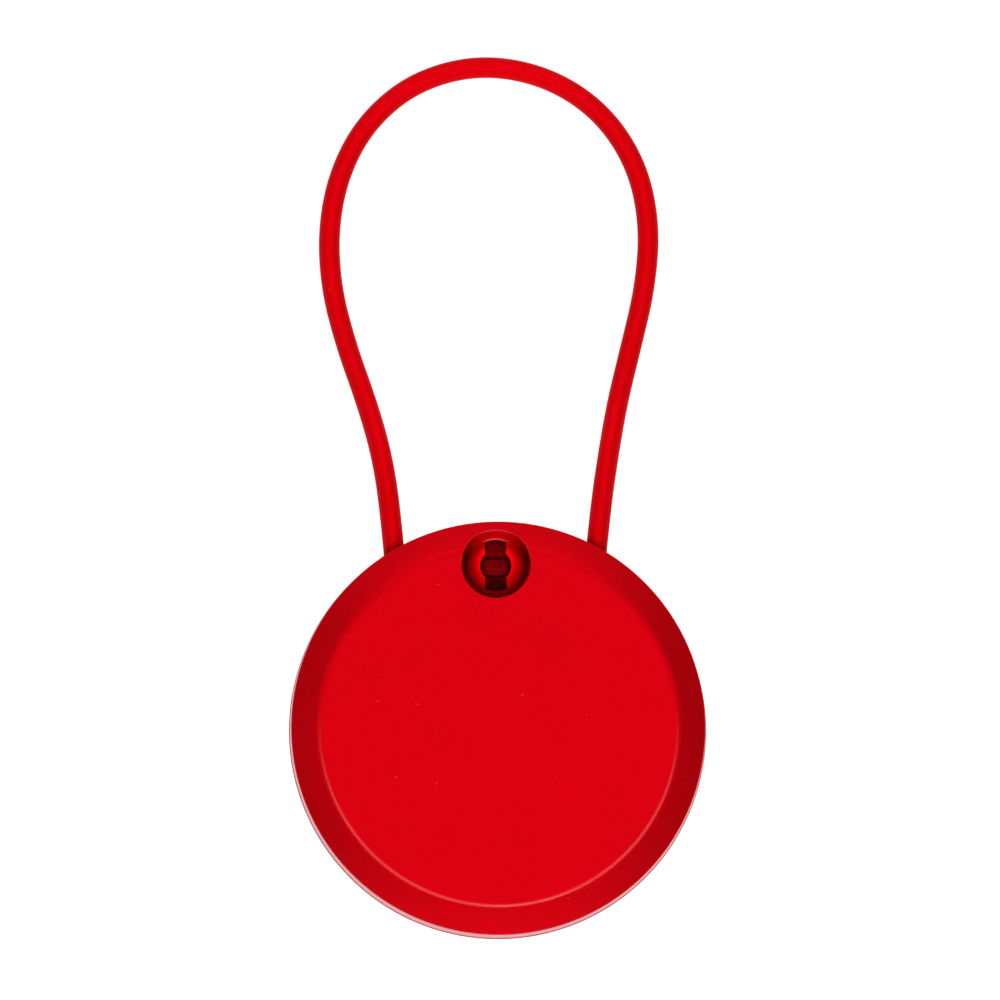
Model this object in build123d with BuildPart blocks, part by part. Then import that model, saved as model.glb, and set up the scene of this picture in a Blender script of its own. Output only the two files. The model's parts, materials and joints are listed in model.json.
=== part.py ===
"""Round clicker trainer on a loop of sheathed cord that locks into its case.

The case lies on the foot ring of its rear half (z = 0) with its front face up (+Z), and the loop
leaves it towards +Y. The click button and its leaf are in the rear half. A keyed rotor under the
bowl in the front face draws a bolt out of the plug on one end of the cord, which frees the loop.
All sizes are in millimetres.
"""

import math
import os

from build123d import *

os.makedirs("parts", exist_ok=True)

# ---------------------------------------------------------------- driving dimensions

# Case: two shallow round shells that meet at PARTING_Z, each with a bevelled edge
TOTAL_HEIGHT = 12.0
WALL = 1.6
PARTING_Z = 5.4
SEAM_CHAMFER = 0.15
CAVITY_RADIUS = 23.4

FACE_RADIUS = 21.45
FRONT_EDGE_RADIUS = 24.7
FRONT_RIM_RADIUS = 24.92
FRONT_BEVEL_DEPTH = 1.9
BEVEL_CROWN = 0.06
FACE_ROUNDING = 2.0
EDGE_ROUNDING = 0.3

REAR_RIM_RADIUS = 25.0
REAR_EDGE_RADIUS = 24.7
REAR_BEVEL_DEPTH = 2.0
FOOT_OUTER_RADIUS = 22.4
FOOT_INNER_RADIUS = 20.8
FOOT_RELIEF = 0.4
REAR_WALL = 1.3

LIP_RADIUS = 23.3
LIP_THICKNESS = 0.8
LIP_HEIGHT = 1.0
LIP_ROOT = 1.8
LIP_BACK_Y = 9.0

RIB_THICKNESS = 0.8
RIB_HEIGHT = 1.0
RIB_RING_RADIUS = 9.0
RIB_SPOKE_LENGTH = 8.4
RIB_SPOKE_COUNT = 6

# Case screws: (x, y) of the two on the right, mirrored to the left
CASE_SCREW_PLACES = [(9.5, -16.5), (16.5, 9.5)]
CASE_SCREW_RADIUS = 0.78
CASE_SCREW_HEAD_RADIUS = 1.4
CASE_SCREW_HEAD_HEIGHT = 0.9
CASE_SCREW_LENGTH = 7.0
CASE_HOLE_RADIUS = 0.8
CASE_CLEARANCE_RADIUS = 0.95
CASE_COUNTERBORE_RADIUS = 1.55
CASE_POST_RADIUS = 2.0
CASE_POST_END_Z = 3.2
CASE_HOLE_TOP_Z = 9.0

# Click button and leaf
BUTTON_Y = -3.0
BUTTON_RADIUS = 11.5
BUTTON_OPENING_RADIUS = 11.7
BUTTON_FACE_Z = 0.6
BUTTON_DISH_DEPTH = 0.6
BUTTON_PLATE_TOP = 2.4
BUTTON_RIB_TOP_Z = 2.9
BUTTON_FLANGE_RADIUS = 12.8
BUTTON_FLANGE_HEIGHT = 0.8
BUTTON_NUB_RADIUS = 1.6
BUTTON_EDGE = 0.5
BUTTON_FLAT = 0.8
BUTTON_SKIRT = 3.0
COLLAR_RADIUS = 13.1
COLLAR_THICKNESS = 0.9
COLLAR_TOP_Z = 4.2

LEAF_Z = 4.9
LEAF_THICKNESS = 0.3
LEAF_WIDTH = 8.0
LEAF_FIXED_Y = -20.5
LEAF_TIP_Y = 2.5
LEAF_DIMPLE_Y = -11.5
LEAF_DIMPLE_RADIUS = 2.6
LEAF_DIMPLE_HEIGHT = 0.6
LEAF_SCREW_X = 2.7
LEAF_SCREW_Y = -18.7
LEAF_POST_RADIUS = 1.7
LEAF_SCREW_END_Z = 2.4
LEAF_SCREW_HEAD_HEIGHT = 0.8
CLAMP_BAR_LENGTH = 9.4
CLAMP_BAR_WIDTH = 3.4
CLAMP_BAR_HEIGHT = 1.0

SLOT_RING_RADIUS = 16.0
SLOT_WIDTH = 1.0
SLOT_SPAN = 20.0
SLOT_PITCH = 28.0

# Lock: rotor under the bowl, turning about a line along Z
LOCK_Y = 19.5
BOWL_RADIUS = 4.08
BOWL_WALL_Z = 11.3
BOWL_FLOOR_Z = 9.0
BOWL_FLAT_RADIUS = 1.6
BOWL_RIM_ROUNDING = 0.12
KEYHOLE_PLATE = 0.9
KEYHOLE_RADIUS = 1.85
KEYHOLE_REACH = 3.1
KEYHOLE_INNER_WIDTH = 2.3
KEYHOLE_OUTER_WIDTH = 2.7
CHAMBER_RADIUS = 3.6
CHAMBER_WALL = 1.4

LOCK_TOP_Z = 4.9
LOCK_PLATE = 0.8
LOCK_BOTTOM_Z = 2.4
LOCK_LEFT_X = -8.4
LOCK_RIGHT_X = 7.2
LOCK_FRONT_Y = 13.2
LOCK_LIMIT_RADIUS = 21.9
COVER_THICKNESS = 0.5

ROTOR_FLANGE_RADIUS = 3.5
ROTOR_FLANGE_HEIGHT = 0.8
POST_RADIUS = 1.68
POST_FLATS = 2.15
POST_TOP_Z = 6.8
JOURNAL_RADIUS = 1.9
JOURNAL_END_Z = 3.4
CLIP_GROOVE_RADIUS = 1.5
CLIP_Z = 3.75
CLIP_THICKNESS = 0.3
CLIP_RADIUS = 2.4
CRANK_RADIUS = 1.1
CRANK_PIN_RADIUS = 0.6
RUNNING_FIT = 0.05

BOLT_Z = 2.5
BOLT_THICKNESS = 0.8
BOLT_Y = 16.7
BOLT_WIDTH = 1.6
NOSE_WIDTH = 0.9
NOSE_LEFT_X = 9.6
NOSE_TOP_Z = 6.9
NOSE_PLAY = 0.15
NOSE_SLOT_LENGTH = 5.2
NOSE_SLOT_X = 10.5
TAIL_X = -4.4
HEAD_WIDTH = 4.2
HEAD_DEPTH = 4.2
BAY_WIDTH = 6.4
CRANK_SLOT_PLAY = 0.08
SPIGOT_RADIUS = 0.4
SPIGOT_LENGTH = 1.6
SPRING_END_X = -8.0
SPRING_Z = 3.25
SPRING_WIRE = 0.25
SPRING_RADIUS = 0.65
SPRING_TURNS = 5

LOCK_SCREW_PLACES = [(-6.0, 18.9), (5.3, 18.9), (-5.6, 14.5), (5.2, 14.5)]
LOCK_SCREW_RADIUS = 0.58
LOCK_HOLE_RADIUS = 0.6
LOCK_CLEARANCE_RADIUS = 0.7
LOCK_HEAD_RADIUS = 1.3
LOCK_POST_RADIUS = 1.4
LOCK_SCREW_END_Z = 8.4
LOCK_HOLE_TOP_Z = 8.9
LOCK_HEAD_HEIGHT = 0.7

# Cross recesses in the screw heads: length, width and depth
LARGE_RECESS = (1.7, 0.4, 0.5)
SMALL_RECESS = (1.5, 0.35, 0.3)

# Cord: its two ends enter the rim at the parting line, leaning outwards a little
CORD_RADIUS = 1.25
CORD_Z = PARTING_Z
EXIT_X = 12.17
EXIT_Y = 21.58
EXIT_LEAN = 6.0
CORD_HOLE_RADIUS = 1.35
SHEATH_END = 2.2
WIRE_RADIUS = 0.55
SADDLE_HALF_WIDTH = 2.5
SADDLE_TOP_Z = 7.5
SOCKET_HALF_WIDTH = 2.8
SOCKET_BOTTOM_Z = 3.9
SLEEVE_RADIUS = 1.9
SLEEVE_BORE_RADIUS = 1.32
SLEEVE_START = 2.6
SLEEVE_END = 10.0
WINDOW_LENGTH = 4.0
WINDOW_PLAY = 0.4
PLUG_END = 9.4
PLUG_NECK_RADIUS = 0.9
PLUG_NECK_WIDTH = 1.5
FORK_RADIUS = 1.0
FERRULE_END = 7.4
FERRULE_FLANGE_RADIUS = 1.9
FERRULE_FLANGE_START = 3.4
FERRULE_FLANGE_END = 4.6
CLAMP_START = 2.9
CLAMP_END = 12.1
CLAMP_SCREW_AT = 9.8
CLAMP_BOTTOM_Z = 3.5
CLAMP_HOLE_TOP_Z = 8.0
CLAMP_SCREW_END_Z = 7.6

# The cord's route, from inside the fixed end's hole to inside the released end's hole
LYING_Z = 1.27
LOOP_ROUTE = [
    (-11.94, 19.40, CORD_Z),
    (-12.73, 26.90, CORD_Z),
    (-13.6, 33.8, 4.2),
    (-15.2, 40.3, 2.1),
    (-17.4, 47.0, LYING_Z),
    (-19.2, 54.1, LYING_Z),
    (-19.6, 61.4, LYING_Z),
    (-18.1, 68.3, LYING_Z),
    (-14.5, 74.4, LYING_Z),
    (-8.7, 79.1, LYING_Z),
    (-1.0, 81.3, LYING_Z),
    (7.0, 79.8, LYING_Z),
    (13.6, 75.3, LYING_Z),
    (17.8, 68.8, LYING_Z),
    (19.3, 61.3, LYING_Z),
    (18.6, 53.6, LYING_Z),
    (16.7, 46.2, LYING_Z),
    (15.0, 39.7, 2.1),
    (13.7, 33.4, 4.2),
    (12.73, 26.90, CORD_Z),
    (11.94, 19.40, CORD_Z),
]

# ---------------------------------------------------------------- derived places

FRONT_EDGE_Z = TOTAL_HEIGHT - FRONT_BEVEL_DEPTH
CEILING_Z = TOTAL_HEIGHT - WALL
FLOOR_Z = FOOT_RELIEF + REAR_WALL
LOCK_PLATE_Z = LOCK_TOP_Z - LOCK_PLATE
KEYHOLE_BOTTOM_Z = BOWL_FLOOR_Z - KEYHOLE_PLATE
CRANK_SHIFT = CRANK_RADIUS * math.sin(math.radians(45))
COVER_Z = LOCK_BOTTOM_Z - COVER_THICKNESS
NECK_AT = (EXIT_Y - BOLT_Y) / math.cos(math.radians(EXIT_LEAN))
NECK_X = EXIT_X - NECK_AT * math.sin(math.radians(EXIT_LEAN))
ALL_CASE_SCREWS = [(side * x, y) for x, y in CASE_SCREW_PLACES for side in (-1, 1)]

LOCK_AXIS = Axis((0, LOCK_Y, 0), (0, 0, 1))
LOCK_SECTION = Plane((0, LOCK_Y, 0), x_dir=(1, 0, 0), z_dir=(0, -1, 0))
BUTTON_AXIS = Axis((0, BUTTON_Y, 0), (0, 0, 1))
BUTTON_SECTION = Plane((0, BUTTON_Y, 0), x_dir=(1, 0, 0), z_dir=(0, -1, 0))


def into(side, depth):
    """Plane across a cord hole's axis, that far in from the rim; its normal points outwards."""
    lean = math.radians(EXIT_LEAN)
    outwards = (side * math.sin(lean), math.cos(lean), 0)
    across = (-math.cos(lean), side * math.sin(lean), 0)
    start = (
        side * (EXIT_X - depth * math.sin(lean)),
        EXIT_Y - depth * math.cos(lean),
        CORD_Z,
    )
    return Plane(start, x_dir=across, z_dir=outwards)


CLAMP_SCREW_PLACE = into(-1, CLAMP_SCREW_AT).origin


def section(points, plane=Plane.XZ):
    """Closed face through (radius, height) points, to be turned round an axis along Z."""
    with BuildSketch(plane, mode=Mode.PRIVATE) as outline:
        with BuildLine():
            Polyline(*points, close=True)
        make_face()
    return outline.sketch


def rod(side, start, end, radius):
    """Solid cylinder along a cord hole's axis, between two distances in from the rim."""
    with BuildPart(mode=Mode.PRIVATE) as bar:
        with BuildSketch(into(side, end)):
            Circle(radius)
        extrude(amount=end - start)
    return bar.part


def block(side, start, end, half_width, bottom, top):
    """Square bar along a cord hole's axis, between two heights."""
    with BuildPart(mode=Mode.PRIVATE) as bar:
        with BuildSketch(into(side, end)):
            with Locations((0, (bottom + top) / 2 - CORD_Z)):
                Rectangle(2 * half_width, top - bottom)
        extrude(amount=end - start)
    return bar.part


def column(x, y, bottom, top, radius):
    """Upright solid cylinder between two heights."""
    with BuildPart(mode=Mode.PRIVATE) as post:
        with BuildSketch(Plane.XY.offset(bottom)):
            with Locations((x, y)):
                Circle(radius)
        extrude(amount=top - bottom)
    return post.part


def cross_recess(places, opening_z, size, depth_way):
    """Crosses for a driver, sunk into screw heads whose faces are at one height."""
    length, width, depth = size
    with BuildPart(mode=Mode.PRIVATE) as crosses:
        with BuildSketch(Plane.XY.offset(opening_z)):
            with Locations(*places):
                Rectangle(length, width)
                Rectangle(width, length)
        extrude(amount=depth_way * depth)
    return crosses.part


def ring_edges(part, radius):
    """Circular edges of that radius about the case's axis."""
    circles = part.edges().filter_by(GeomType.CIRCLE)
    return circles.filter_by(lambda edge: abs(edge.radius - radius) < 0.001)


def bowl_rim(part):
    """Edges where the bowl's wall meets the front face and the bevel."""
    rim = []
    for edge in part.edges():
        middle = edge @ 0.5
        from_axis = math.hypot(middle.X, middle.Y - LOCK_Y)
        on_wall = abs(from_axis - BOWL_RADIUS) < 0.2
        if on_wall and middle.Z > BOWL_FLOOR_Z + 1.5 and edge.geom_type != GeomType.LINE:
            rim.append(edge)
    return rim


# ---------------------------------------------------------------- front shell

with BuildPart() as front_bosses:
    # Lock chamber's wall
    add(column(0, LOCK_Y, LOCK_TOP_Z, CEILING_Z + 0.1, CHAMBER_RADIUS + CHAMBER_WALL))
    # Posts for the case screws and the lock screws
    for x, y in ALL_CASE_SCREWS:
        add(column(x, y, CASE_POST_END_Z, CEILING_Z + 0.1, CASE_POST_RADIUS))
    for x, y in LOCK_SCREW_PLACES:
        add(column(x, y, LOCK_TOP_Z, CEILING_Z + 0.1, LOCK_POST_RADIUS))
    # Socket for the plug, upper saddle and screw post for the fixed end, and a rib over each
    add(block(1, 0, SLEEVE_END, SOCKET_HALF_WIDTH, SOCKET_BOTTOM_Z, SADDLE_TOP_Z))
    add(block(-1, 0, CLAMP_END, SADDLE_HALF_WIDTH, CORD_Z, SADDLE_TOP_Z))
    for side in (-1, 1):
        add(block(side, 0, SLEEVE_END, 0.5, SADDLE_TOP_Z - 0.5, CEILING_Z + 0.1))
    # Stiffening ribs under the face: a ring and six spokes that start from it
    with BuildSketch(Plane.XY.offset(CEILING_Z - RIB_HEIGHT)):
        with Locations((0, BUTTON_Y)):
            Circle(RIB_RING_RADIUS + RIB_THICKNESS / 2)
            Circle(RIB_RING_RADIUS - RIB_THICKNESS / 2, mode=Mode.SUBTRACT)
            spoke_middle = RIB_RING_RADIUS + RIB_SPOKE_LENGTH / 2
            with PolarLocations(spoke_middle, RIB_SPOKE_COUNT, start_angle=30):
                Rectangle(RIB_SPOKE_LENGTH, RIB_THICKNESS)
    extrude(amount=RIB_HEIGHT + 0.1)
    # The bosses stay inside the case, and clear of the rear shell below the parting line
    with BuildPart(mode=Mode.INTERSECT):
        envelope = [
            (0, CASE_POST_END_Z - 1),
            (CAVITY_RADIUS - 0.7, CASE_POST_END_Z - 1),
            (CAVITY_RADIUS - 0.7, PARTING_Z),
            (CAVITY_RADIUS + 0.4, PARTING_Z),
            (CAVITY_RADIUS + 0.4, FRONT_EDGE_Z - 0.9),
            (FACE_RADIUS - 0.2, CEILING_Z + 0.1),
            (0, CEILING_Z + 0.1),
        ]
        revolve(section(envelope), axis=Axis.Z)

with BuildPart() as front_shell:
    # Outside, with a bevel that is a little crowned
    with BuildSketch(Plane.XZ):
        with BuildLine():
            bevel_foot = (FRONT_EDGE_RADIUS, FRONT_EDGE_Z)
            bevel_head = (FACE_RADIUS, TOTAL_HEIGHT)
            Polyline(
                bevel_head, (0, TOTAL_HEIGHT), (0, PARTING_Z), (FRONT_RIM_RADIUS, PARTING_Z), bevel_foot
            )
            SagittaArc(bevel_foot, bevel_head, -BEVEL_CROWN)
        make_face()
    revolve(axis=Axis.Z)
    fillet(ring_edges(front_shell, FACE_RADIUS), radius=FACE_ROUNDING)
    fillet(ring_edges(front_shell, FRONT_EDGE_RADIUS), radius=EDGE_ROUNDING)
    chamfer(ring_edges(front_shell, FRONT_RIM_RADIUS), length=SEAM_CHAMFER)
    inside = [
        (0, PARTING_Z),
        (CAVITY_RADIUS, PARTING_Z),
        (CAVITY_RADIUS - 0.1, FRONT_EDGE_Z - 0.9),
        (FACE_RADIUS - 0.5, CEILING_Z),
        (0, CEILING_Z),
    ]
    revolve(section(inside), axis=Axis.Z, mode=Mode.SUBTRACT)
    add(front_bosses.part)
    # Bowl: a short upright wall, then a quarter ellipse down to the flat round the keyhole
    with BuildSketch(LOCK_SECTION):
        with BuildLine():
            Line((0, BOWL_FLOOR_Z), (BOWL_FLAT_RADIUS, BOWL_FLOOR_Z))
            EllipticalCenterArc(
                (BOWL_FLAT_RADIUS, BOWL_WALL_Z),
                BOWL_RADIUS - BOWL_FLAT_RADIUS,
                BOWL_WALL_Z - BOWL_FLOOR_Z,
                start_angle=270,
                arc_size=90,
            )
            Line((BOWL_RADIUS, BOWL_WALL_Z), (BOWL_RADIUS, TOTAL_HEIGHT + 1))
            Line((BOWL_RADIUS, TOTAL_HEIGHT + 1), (0, TOTAL_HEIGHT + 1))
            Line((0, TOTAL_HEIGHT + 1), (0, BOWL_FLOOR_Z))
        make_face()
    revolve(axis=LOCK_AXIS, mode=Mode.SUBTRACT)
    fillet(bowl_rim(front_shell), radius=BOWL_RIM_ROUNDING)
    # Bow-tie keyhole
    with BuildSketch(Plane((0, LOCK_Y, KEYHOLE_BOTTOM_Z - 1))):
        with BuildLine():
            Polyline(
                (-KEYHOLE_INNER_WIDTH / 2, 0),
                (-KEYHOLE_OUTER_WIDTH / 2, KEYHOLE_REACH + 0.5),
                (KEYHOLE_OUTER_WIDTH / 2, KEYHOLE_REACH + 0.5),
                (KEYHOLE_INNER_WIDTH / 2, 0),
                (KEYHOLE_OUTER_WIDTH / 2, -KEYHOLE_REACH - 0.5),
                (-KEYHOLE_OUTER_WIDTH / 2, -KEYHOLE_REACH - 0.5),
                close=True,
            )
        make_face()
        Circle(KEYHOLE_REACH, mode=Mode.INTERSECT)
        Circle(KEYHOLE_RADIUS)
    extrude(amount=TOTAL_HEIGHT, mode=Mode.SUBTRACT)
    # Chamber in which the key's wings turn, with the rotor's flange across its mouth
    add(
        column(0, LOCK_Y, LOCK_TOP_Z - 1, KEYHOLE_BOTTOM_Z, CHAMBER_RADIUS),
        mode=Mode.SUBTRACT,
    )
    # Screw holes
    for x, y in ALL_CASE_SCREWS:
        add(column(x, y, CASE_POST_END_Z, CASE_HOLE_TOP_Z, CASE_HOLE_RADIUS), mode=Mode.SUBTRACT)
    for x, y in LOCK_SCREW_PLACES:
        add(column(x, y, LOCK_TOP_Z, LOCK_HOLE_TOP_Z, LOCK_HOLE_RADIUS), mode=Mode.SUBTRACT)
    # Cord holes through the rim, bed of the fixed ferrule, and bore of the plug's sleeve
    for side in (-1, 1):
        add(rod(side, -2, SLEEVE_START, CORD_HOLE_RADIUS), mode=Mode.SUBTRACT)
    add(rod(-1, SHEATH_END, FERRULE_END + 0.4, CORD_RADIUS), mode=Mode.SUBTRACT)
    add(
        rod(-1, FERRULE_FLANGE_START, FERRULE_FLANGE_END, FERRULE_FLANGE_RADIUS),
        mode=Mode.SUBTRACT,
    )
    add(rod(1, SLEEVE_START, SLEEVE_END + 1, SLEEVE_RADIUS), mode=Mode.SUBTRACT)
    # Hole for the clamp's screw
    screw_x = CLAMP_SCREW_PLACE.X
    screw_y = CLAMP_SCREW_PLACE.Y
    add(
        column(screw_x, screw_y, CORD_Z - 1, CLAMP_HOLE_TOP_Z, LOCK_HOLE_RADIUS),
        mode=Mode.SUBTRACT,
    )
    # Slot across the socket for the bolt's nose
    with BuildSketch(Plane.XY.offset(SOCKET_BOTTOM_Z - 1)):
        with Locations((NOSE_SLOT_X, BOLT_Y)):
            Rectangle(NOSE_SLOT_LENGTH, NOSE_WIDTH + 2 * NOSE_PLAY)
    extrude(amount=NOSE_TOP_Z + NOSE_PLAY - SOCKET_BOTTOM_Z + 1, mode=Mode.SUBTRACT)

front_shell.part.label = "front_shell"
export_step(front_shell.part, "parts/front_shell.step")

# ---------------------------------------------------------------- rear shell

with BuildPart() as rear_shell:
    outside = [
        (0, 0),
        (FOOT_OUTER_RADIUS, 0),
        (REAR_EDGE_RADIUS, REAR_BEVEL_DEPTH),
        (REAR_RIM_RADIUS, PARTING_Z),
        (0, PARTING_Z),
    ]
    revolve(section(outside), axis=Axis.Z)
    fillet(ring_edges(rear_shell, REAR_EDGE_RADIUS), radius=EDGE_ROUNDING)
    chamfer(ring_edges(rear_shell, REAR_RIM_RADIUS), length=SEAM_CHAMFER)
    inside = [
        (0, FLOOR_Z),
        (FOOT_OUTER_RADIUS - 0.5, FLOOR_Z),
        (CAVITY_RADIUS - 0.1, REAR_BEVEL_DEPTH + 0.9),
        (CAVITY_RADIUS, PARTING_Z),
        (0, PARTING_Z),
    ]
    revolve(section(inside), axis=Axis.Z, mode=Mode.SUBTRACT)
    # Recessed middle, which leaves a foot ring round it
    add(column(0, 0, -1, FOOT_RELIEF, FOOT_INNER_RADIUS), mode=Mode.SUBTRACT)
    # Lip that centres the front shell, left out where the lock and the cord's ends are
    with BuildPart(mode=Mode.PRIVATE) as lip:
        lip_outline = [
            (LIP_RADIUS - LIP_THICKNESS, PARTING_Z - LIP_ROOT),
            (CAVITY_RADIUS + 0.2, PARTING_Z - LIP_ROOT),
            (CAVITY_RADIUS + 0.2, PARTING_Z),
            (LIP_RADIUS, PARTING_Z),
            (LIP_RADIUS, PARTING_Z + LIP_HEIGHT),
            (LIP_RADIUS - LIP_THICKNESS, PARTING_Z + LIP_HEIGHT),
        ]
        revolve(section(lip_outline), axis=Axis.Z)
        with BuildSketch(Plane.XY.offset(PARTING_Z - LIP_ROOT - 1)):
            with Locations((0, LIP_BACK_Y)):
                Rectangle(
                    4 * LIP_RADIUS, 2 * LIP_RADIUS, align=(Align.CENTER, Align.MIN)
                )
        extrude(amount=LIP_ROOT + LIP_HEIGHT + 2, mode=Mode.SUBTRACT)
    add(lip.part)
    # Bosses for the case screws
    for x, y in ALL_CASE_SCREWS:
        add(column(x, y, FLOOR_Z - 0.1, CASE_POST_END_Z, CASE_POST_RADIUS + 0.1))
    # Collar round the button's flange, and posts that carry the leaf
    with BuildSketch(Plane.XY.offset(FLOOR_Z - 0.1)):
        with Locations((0, BUTTON_Y)):
            Circle(COLLAR_RADIUS + COLLAR_THICKNESS)
            Circle(COLLAR_RADIUS, mode=Mode.SUBTRACT)
    extrude(amount=COLLAR_TOP_Z - FLOOR_Z + 0.1)
    for side in (-1, 1):
        add(
            column(side * LEAF_SCREW_X, LEAF_SCREW_Y, FLOOR_Z - 0.1, LEAF_Z, LEAF_POST_RADIUS)
        )
    # Button opening, with its outer edge eased for the thumb
    add(column(0, BUTTON_Y, -1, FLOOR_Z + 0.1, BUTTON_OPENING_RADIUS), mode=Mode.SUBTRACT)
    eased = [
        (BUTTON_OPENING_RADIUS - 0.1, FOOT_RELIEF - 0.1),
        (BUTTON_OPENING_RADIUS + 0.6, FOOT_RELIEF - 0.1),
        (BUTTON_OPENING_RADIUS - 0.1, FOOT_RELIEF + 0.6),
    ]
    revolve(section(eased, BUTTON_SECTION), axis=BUTTON_AXIS, mode=Mode.SUBTRACT)
    # Sound slots on both sides of the button
    with BuildSketch(Plane((0, BUTTON_Y, -1))):
        for facing in (0, 180):
            for step in (-1, 0, 1):
                middle = facing + step * SLOT_PITCH
                SlotArc(
                    CenterArc((0, 0), SLOT_RING_RADIUS, middle - SLOT_SPAN / 2, SLOT_SPAN),
                    SLOT_WIDTH,
                )
    extrude(amount=FLOOR_Z + 1.1, mode=Mode.SUBTRACT)
    # Screw holes: counterbore, clearance, and the leaf screws' blind holes
    for x, y in ALL_CASE_SCREWS:
        add(
            column(x, y, -1, FOOT_RELIEF + 1.0, CASE_COUNTERBORE_RADIUS),
            mode=Mode.SUBTRACT,
        )
        add(
            column(x, y, 0, CASE_POST_END_Z + 1, CASE_CLEARANCE_RADIUS),
            mode=Mode.SUBTRACT,
        )
    for side in (-1, 1):
        add(
            column(
                side * LEAF_SCREW_X, LEAF_SCREW_Y, LEAF_SCREW_END_Z - 0.2, LEAF_Z + 1, CASE_HOLE_RADIUS
            ),
            mode=Mode.SUBTRACT,
        )
    # Lower halves of the cord holes
    for side in (-1, 1):
        add(rod(side, -2, SLEEVE_START, CORD_HOLE_RADIUS), mode=Mode.SUBTRACT)

rear_shell.part.label = "rear_shell"
export_step(rear_shell.part, "parts/rear_shell.step")

# ---------------------------------------------------------------- case screws

with BuildPart() as case_screws:
    head_z = FOOT_RELIEF + 1.0 - CASE_SCREW_HEAD_HEIGHT
    for x, y in ALL_CASE_SCREWS:
        add(column(x, y, head_z, FOOT_RELIEF + 1.0, CASE_SCREW_HEAD_RADIUS))
        add(
            column(
                x, y, FOOT_RELIEF + 1.0, FOOT_RELIEF + 1.0 + CASE_SCREW_LENGTH, CASE_SCREW_RADIUS
            )
        )
    add(cross_recess(ALL_CASE_SCREWS, head_z, LARGE_RECESS, 1), mode=Mode.SUBTRACT)

case_screws.part.label = "case_screws"
export_step(case_screws.part, "parts/case_screws.step")

# ---------------------------------------------------------------- click button

with BuildPart() as click_button:
    flange_top_z = FLOOR_Z + BUTTON_FLANGE_HEIGHT
    skirt_radius = BUTTON_FLANGE_RADIUS - BUTTON_SKIRT
    with BuildSketch(BUTTON_SECTION):
        with BuildLine():
            dish_edge = (BUTTON_RADIUS - BUTTON_EDGE - BUTTON_FLAT, BUTTON_FACE_Z)
            dish_middle = (0, BUTTON_FACE_Z + BUTTON_DISH_DEPTH)
            dish_between = (BUTTON_RADIUS / 2, BUTTON_FACE_Z + 0.7 * BUTTON_DISH_DEPTH)
            ThreePointArc(dish_middle, dish_between, dish_edge)
            Polyline(
                dish_edge,
                (BUTTON_RADIUS - BUTTON_EDGE, BUTTON_FACE_Z),
                (BUTTON_RADIUS, BUTTON_FACE_Z + BUTTON_EDGE),
                (BUTTON_RADIUS, FLOOR_Z),
                (BUTTON_FLANGE_RADIUS, FLOOR_Z),
                (BUTTON_FLANGE_RADIUS, flange_top_z),
                (skirt_radius, flange_top_z),
                (skirt_radius, BUTTON_PLATE_TOP),
                (0, BUTTON_PLATE_TOP),
                dish_middle,
            )
        make_face()
    revolve(axis=BUTTON_AXIS)
    # Nub that presses the leaf, on a cross of ribs
    add(column(0, BUTTON_Y, BUTTON_PLATE_TOP - 0.1, LEAF_Z, BUTTON_NUB_RADIUS))
    fillet(click_button.edges().group_by(Axis.Z)[-1], radius=0.5)
    with BuildSketch(Plane.XY.offset(BUTTON_PLATE_TOP - 0.1)):
        with Locations((0, BUTTON_Y)):
            Rectangle(2 * skirt_radius + 0.2, RIB_THICKNESS)
            Rectangle(RIB_THICKNESS, 2 * skirt_radius + 0.2)
    extrude(amount=BUTTON_RIB_TOP_Z - BUTTON_PLATE_TOP + 0.1)

click_button.part.label = "click_button"
export_step(click_button.part, "parts/click_button.step")

# ---------------------------------------------------------------- click leaf, its clamp and screws

leaf_screw_places = [(-LEAF_SCREW_X, LEAF_SCREW_Y), (LEAF_SCREW_X, LEAF_SCREW_Y)]

with BuildPart() as click_leaf:
    leaf_length = LEAF_TIP_Y - LEAF_FIXED_Y
    with BuildSketch(Plane.XY.offset(LEAF_Z)):
        with Locations((0, LEAF_FIXED_Y + leaf_length / 2)):
            RectangleRounded(LEAF_WIDTH, leaf_length, 1.5)
        with Locations(*leaf_screw_places):
            Circle(CASE_CLEARANCE_RADIUS, mode=Mode.SUBTRACT)
        with Locations((0, LEAF_DIMPLE_Y)):
            Circle(LEAF_DIMPLE_RADIUS, mode=Mode.SUBTRACT)
    extrude(amount=LEAF_THICKNESS)
    # Pressed dimple: a shallow dome of the same sheet
    dimple_section = Plane((0, LEAF_DIMPLE_Y, LEAF_Z), x_dir=(1, 0, 0), z_dir=(0, -1, 0))
    with BuildSketch(dimple_section):
        with BuildLine():
            inner_rise = (LEAF_DIMPLE_RADIUS * 0.5, LEAF_DIMPLE_HEIGHT * 0.75)
            outer_rise = (LEAF_DIMPLE_RADIUS * 0.5, LEAF_DIMPLE_HEIGHT * 0.75 + LEAF_THICKNESS)
            dome_top = LEAF_DIMPLE_HEIGHT + LEAF_THICKNESS
            ThreePointArc((LEAF_DIMPLE_RADIUS, 0), inner_rise, (0, LEAF_DIMPLE_HEIGHT))
            Line((0, LEAF_DIMPLE_HEIGHT), (0, dome_top))
            ThreePointArc((0, dome_top), outer_rise, (LEAF_DIMPLE_RADIUS, LEAF_THICKNESS))
            Line((LEAF_DIMPLE_RADIUS, LEAF_THICKNESS), (LEAF_DIMPLE_RADIUS, 0))
        make_face()
    revolve(axis=Axis((0, LEAF_DIMPLE_Y, 0), (0, 0, 1)))

click_leaf.part.label = "click_leaf"
export_step(click_leaf.part, "parts/click_leaf.step")

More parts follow.
